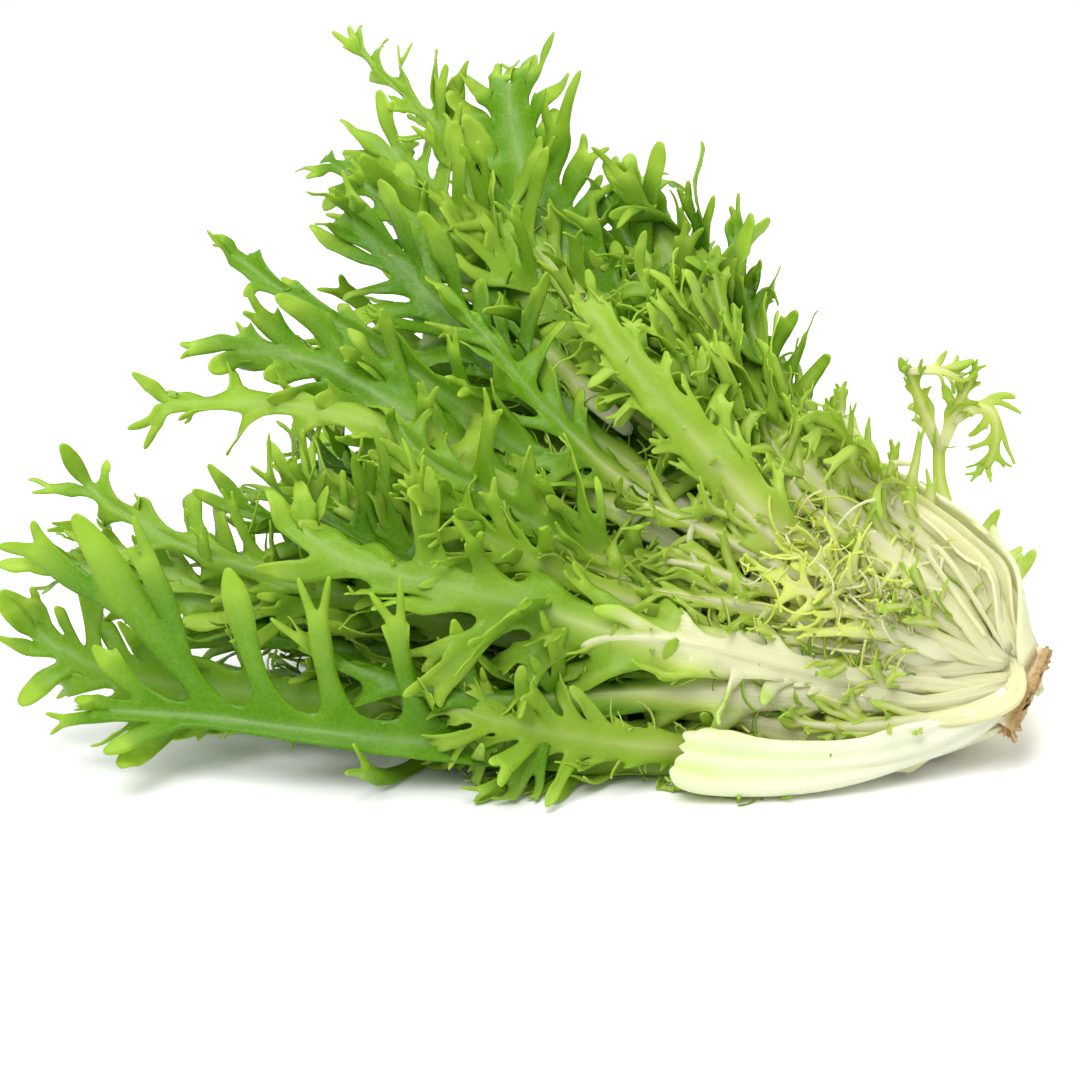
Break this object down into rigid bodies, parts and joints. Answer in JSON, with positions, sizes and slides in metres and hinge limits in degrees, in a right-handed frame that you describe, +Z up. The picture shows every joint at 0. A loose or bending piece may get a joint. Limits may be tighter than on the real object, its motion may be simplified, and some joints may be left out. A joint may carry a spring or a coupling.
{
  "type": "half head of curly endive",
  "caption": "Half head of frilled escarole, cut lengthwise, lying on its rounded back with the cut face up; a resting prop for kitchens and shops.",
  "frame": {"origin": "on the surface it lies on, below the middle of its box", "axes": "+X towards the stem's cut butt, along the longest side of the box; +Z up; the cut face looks to -Y and up"},
  "size_m": [0.3649, 0.2571, 0.2254],
  "materials": {
    "stem_flesh": "moist cream flesh with a dried brown butt",
    "green_leaf": "fresh green leaf, white at its base, satin gloss",
    "white_leaf": "white ribbed leaf stalk, satin gloss",
    "bent_leaf": "thin light green leaf, satin gloss",
    "pale_leaf": "green leaf with a white rib, satin gloss",
    "heart_leaf": "yellow-white frilled heart leaf, satin gloss"
  },
  "bodies": {
    "root": {"stem": "stem_flesh", "outer_leaf_01": "green_leaf", "outer_leaf_02": "green_leaf", "outer_leaf_03": "green_leaf", "outer_leaf_04": "green_leaf", "outer_leaf_05": "green_leaf", "outer_leaf_06": "green_leaf", "outer_leaf_07": "green_leaf", "trimmed_leaf": "white_leaf", "back_leaf": "bent_leaf", "inner_leaves": "pale_leaf", "heart_leaves": "heart_leaf"}
  },
  "joints": []
}
